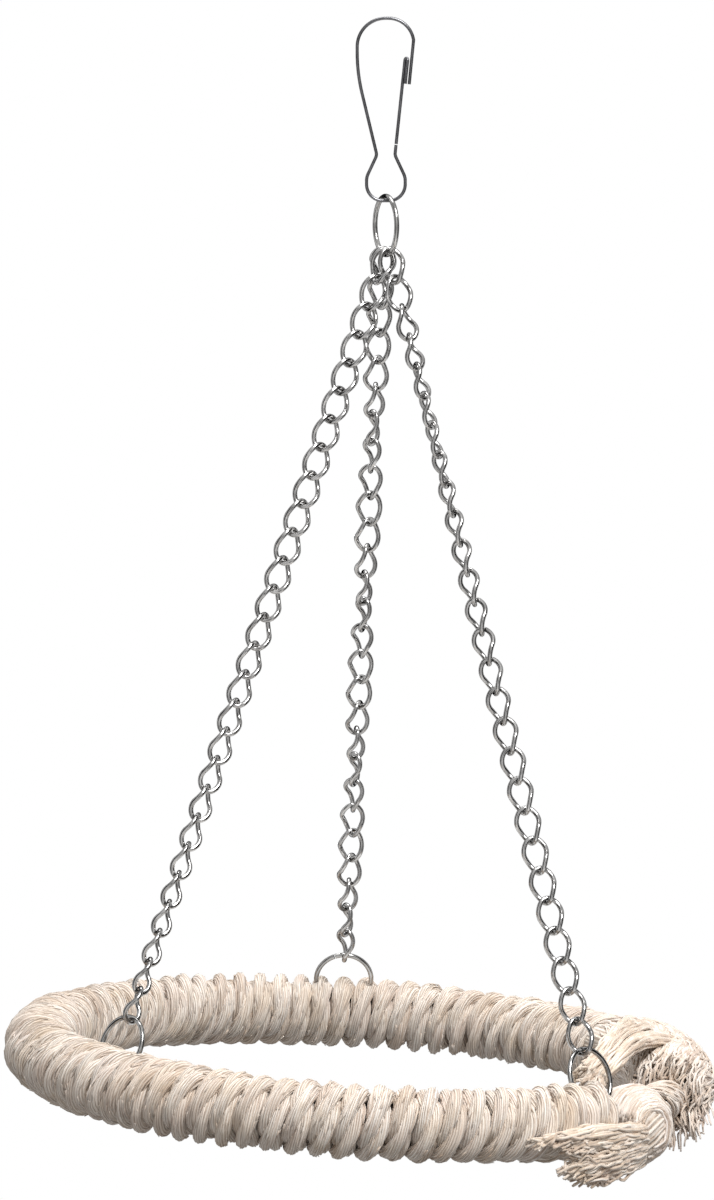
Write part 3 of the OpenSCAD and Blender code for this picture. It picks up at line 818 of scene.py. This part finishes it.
def windKnot(s):
    # each yarn comes off the winding, over the top of the ball and down its far side
    paths, radii = [], []
    for _ in range(s["turns"]):
        offset = rng.uniform(-1, 1) * s["turnSpread"]
        radius = s["radius"] * rng.uniform(*s["turnLie"])
        axis = knotOut * s["turnAxis"][0] + upWay * s["turnAxis"][1] + knotOn * s["turnAxis"][2]
        axis = unit(axis + rng.normal(0, s["axisStray"], 3))
        rise = unit(upWay - axis * np.dot(upWay, axis))
        over = np.cross(rise, axis)
        over = over if np.dot(over, knotOn) > 0 else -over
        start = s["turnFrom"][0] + rng.normal(0, s["turnFrom"][1])
        end = s["turnTo"][0] + rng.normal(0, s["turnTo"][1])
        angle = np.linspace(start, end, s["turnRings"])
        r = radius * math.sqrt(1 - offset * offset)
        path = (knotAt + radius * offset * axis + np.outer(np.cos(angle) * r, rise)
                + np.outer(np.sin(angle) * r, over))
        paths.append(clearOfRings(wavy(path, *s["turnStray"]), s["turnClear"], ("right",)))
        radii.append(taper(s["turnD"], 1.0, s["turnRings"]))
    turns = strandPiece("lower_knot_yarns", paths, radii, "hung_hoop", yarnMaterial)
    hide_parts("lower_rope_knot")


tieBall(lowerKnot)
windKnot(lowerKnot)
print("lower knot made")


# the lower frayed end: yarns that leave the knot and run back along the winding

lowerTassel = {
    "yarns": 230,
    "yarnD": 1.05,
    "rings": 44,
    "fewestRings": 28,
    "trim": (0.9, 1.05),
    "stray": (0.75, 12, 0.2),
    "endShare": 0.72,
    "depth": 3.2,            # mm from the back to the front of the fan
    "belly": 1.8,            # mm that its middle stands out
    "inset": 0.6,            # mm that the fan is set in
    "sways": [[0.6], [1.3]],     # how much its last two places sway with their lock
    "clear": 0.5,
    "locks": 11,
    "lockLength": (0.8, 1.0),
    "lockDrop": 1.0,
    # (degrees along the hoop, mm out, mm up) along the fan's top and bottom edge, and how loose it is there
    "top": [(-28.7, 3.1, -5.2), (-35.1, 7.6, -2.2), (-41.1, 9.8, -0.4), (-47.4, 10.2, 0.2),
            (-53.2, 10.4, 0.2), (-58.5, 10.8, -0.4), (-62.8, 10.6, -2.0)],
    "bottom": [(-28.0, 1.9, -12.4), (-33.1, 5.5, -12.6), (-39.3, 8.0, -13.0), (-43.7, 8.6, -13.8),
               (-47.2, 8.6, -14.9), (-50.3, 8.6, -16.4), (-53.2, 8.6, -18.0)],
    "loose": [0.0, 0.3, 0.6, 0.8, 1.0, 1.0, 1.0],
}


def frayLowerEnd(s):
    top, bottom = edgePoints(s["top"]), edgePoints(s["bottom"])
    loose = np.array(s["loose"])[:, None]
    paths, radii = [], []
    locks = makeLocks(s)
    for _ in range(s["yarns"]):
        k = rng.uniform(0, 1)        # from the top to the bottom of the fan
        layer = rng.uniform(0, 1)
        length, sway = locks[min(s["locks"] - 1, int(k * s["locks"]))][:2]
        control = top * (1 - k) + bottom * k
        bulge = loose * (s["depth"] * layer + s["belly"] * math.sin(math.pi * k) - s["inset"])
        control = control + unit(control * np.array([1, 1, 0.0])) * bulge
        control[-2:] = control[-2:] + upWay * sway * np.array(s["sways"])
        path = curveThrough(control, s["rings"])
        path = path[:max(s["fewestRings"], int(s["rings"] * length * rng.uniform(*s["trim"])))]
        paths.append(clearOfRings(wavy(path, *s["stray"]), s["clear"], ("right",)))
        radii.append(taper(s["yarnD"], s["endShare"], len(path)))
    tassel = strandPiece("lower_frayed_yarns", paths, radii, "hung_hoop", tasselMaterial)
    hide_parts("lower_tassel")


frayLowerEnd(lowerTassel)
print("lower frayed end made")


# floor, flags, sky, lamps and camera

studio = {
    "floor": ("f1f0ee", "f4f3f1"),
    "floorHeight": -0.62,
    "floorRadius": 0.52,
    "flag": "080808",        # black cloths beside the swing, which the metal mirrors as dark edges
    "flagHeight": -0.12,
    # name, x, y, degrees turned, width and height, in metres
    "flags": [("flag_left", -0.6, -0.5, 60, 1.0, 1.2), ("flag_right", 0.6, -0.35, -65, 0.9, 1.2),
              ("flag_front", 0.3, -2.6, 0, 0.8, 1.2), ("flag_back", 0.0, 1.1, 0, 2.6, 1.6)],
    "skyStrength": 0.6,      # soft light from above
    "groundStrength": 0.38,  # and the little that comes from below
    "horizon": (-0.35, 0.65),
    # name, place and watts
    "lamps": [("key_light", (0.5, -0.95, 1.1), 30.0), ("top_light", (-0.2, 0.4, 1.4), 15.0)],
    "lampSize": 0.8,
    "lampAim": (0, 0, -0.25),
    "cameraAt": (-0.0080, -1.6020, -0.0115),
    "cameraForward": (0, 0.99568, -0.09287),
    "cameraView": 11.87,     # degrees from the top to the bottom of the frame
    "cameraReach": (0.1, 20),    # metres
}


def aimed(thing, forward):
    thing.rotation_euler = Vector(forward).to_track_quat("-Z", "Y").to_euler()
    bpy.context.scene.collection.objects.link(thing)


def layFloor(s):
    material, tree = newMaterial("paleStudioFloor")
    grit = addNode(tree, "ShaderNodeTexNoise", {"Scale": 40.0, "Detail": 2.0})
    tone = addNode(tree, "ShaderNodeValToRGB", None, {"Fac": grit.outputs["Fac"]})
    rampColours(tone, [(0.3, s["floor"][0]), (0.7, s["floor"][1])])
    shader = addNode(tree, "ShaderNodeBsdfPrincipled", {"Roughness": 0.9}, {"Base Color": tone.outputs[0]})
    addNode(tree, "ShaderNodeOutputMaterial", None, {"Surface": shader.outputs[0]})
    bpy.ops.mesh.primitive_circle_add(vertices=128, radius=s["floorRadius"], fill_type="NGON",
                                      location=(0, 0, s["floorHeight"]))
    floor = bpy.context.object
    floor.name = "floor"
    floor.visible_diffuse = False
    floor.data.materials.append(material)


def hangFlags(s):
    material, tree = newMaterial("blackFlagCloth")
    shader = addNode(tree, "ShaderNodeBsdfDiffuse", {"Color": linear(s["flag"])})
    addNode(tree, "ShaderNodeOutputMaterial", None, {"Surface": shader.outputs[0]})
    for name, x, y, turn, width, tall in s["flags"]:
        bpy.ops.mesh.primitive_plane_add(size=1, location=(x, y, s["flagHeight"]),
                                         rotation=(math.radians(90), 0, math.radians(turn)))
        flag = bpy.context.object
        flag.name = name
        flag.scale = (width, tall, 1)
        flag.data.materials.append(material)
        flag.visible_camera = False
        flag.visible_diffuse = False
        flag.visible_shadow = False


def lightSky(s):
    # plain white where it is seen or mirrored, and a soft light on the swing that fades downwards
    world = bpy.data.worlds.new("studioWorld")
    bpy.context.scene.world = world
    world.use_nodes = True
    tree = world.node_tree
    tree.nodes.clear()
    rays = addNode(tree, "ShaderNodeLightPath")
    seen = addNode(tree, "ShaderNodeMath", {"operation": "MAXIMUM"},
                   {0: rays.outputs["Is Camera Ray"], 1: rays.outputs["Is Glossy Ray"]})
    seenToo = addNode(tree, "ShaderNodeMath", {"operation": "MAXIMUM"},
                      {0: seen.outputs[0], 1: rays.outputs["Is Transmission Ray"]})
    place = addNode(tree, "ShaderNodeTexCoord")
    height = addNode(tree, "ShaderNodeSeparateXYZ", None, {0: place.outputs["Generated"]})
    strength = addNode(tree, "ShaderNodeMapRange",
                       {"From Min": s["horizon"][0], "From Max": s["horizon"][1],
                        "To Min": s["groundStrength"], "To Max": s["skyStrength"]},
                       {"Value": height.outputs["Z"]})
    soft = addNode(tree, "ShaderNodeBackground", {"Color": (1, 1, 1, 1)}, {"Strength": strength.outputs[0]})
    white = addNode(tree, "ShaderNodeBackground", {"Color": (1, 1, 1, 1), "Strength": 1.0})
    both = addNode(tree, "ShaderNodeMixShader", None,
                   {0: seenToo.outputs[0], 1: soft.outputs[0], 2: white.outputs[0]})
    addNode(tree, "ShaderNodeOutputWorld", None, {"Surface": both.outputs[0]})


def setLamps(s):
    for name, place, watts in s["lamps"]:
        lamp = bpy.data.lights.new(name, "AREA")
        lamp.shape = "DISK"
        lamp.size = s["lampSize"]
        lamp.energy = watts
        lampObject = bpy.data.objects.new(name, lamp)
        lampObject.location = place
        aimed(lampObject, Vector(s["lampAim"]) - Vector(place))


def setCamera(s):
    lens = bpy.data.cameras.new("camera")
    lens.sensor_width = 36
    lens.lens = lens.sensor_width / 2 / math.tan(math.radians(s["cameraView"] / 2))
    lens.clip_start, lens.clip_end = s["cameraReach"]
    camera = bpy.data.objects.new("camera", lens)
    camera.location = s["cameraAt"]
    aimed(camera, s["cameraForward"])
    bpy.context.scene.camera = camera


layFloor(studio)
hangFlags(studio)
lightSky(studio)
setLamps(studio)
setCamera(studio)
bpy.context.scene.view_settings.view_transform = "Standard"
print("studio ready")
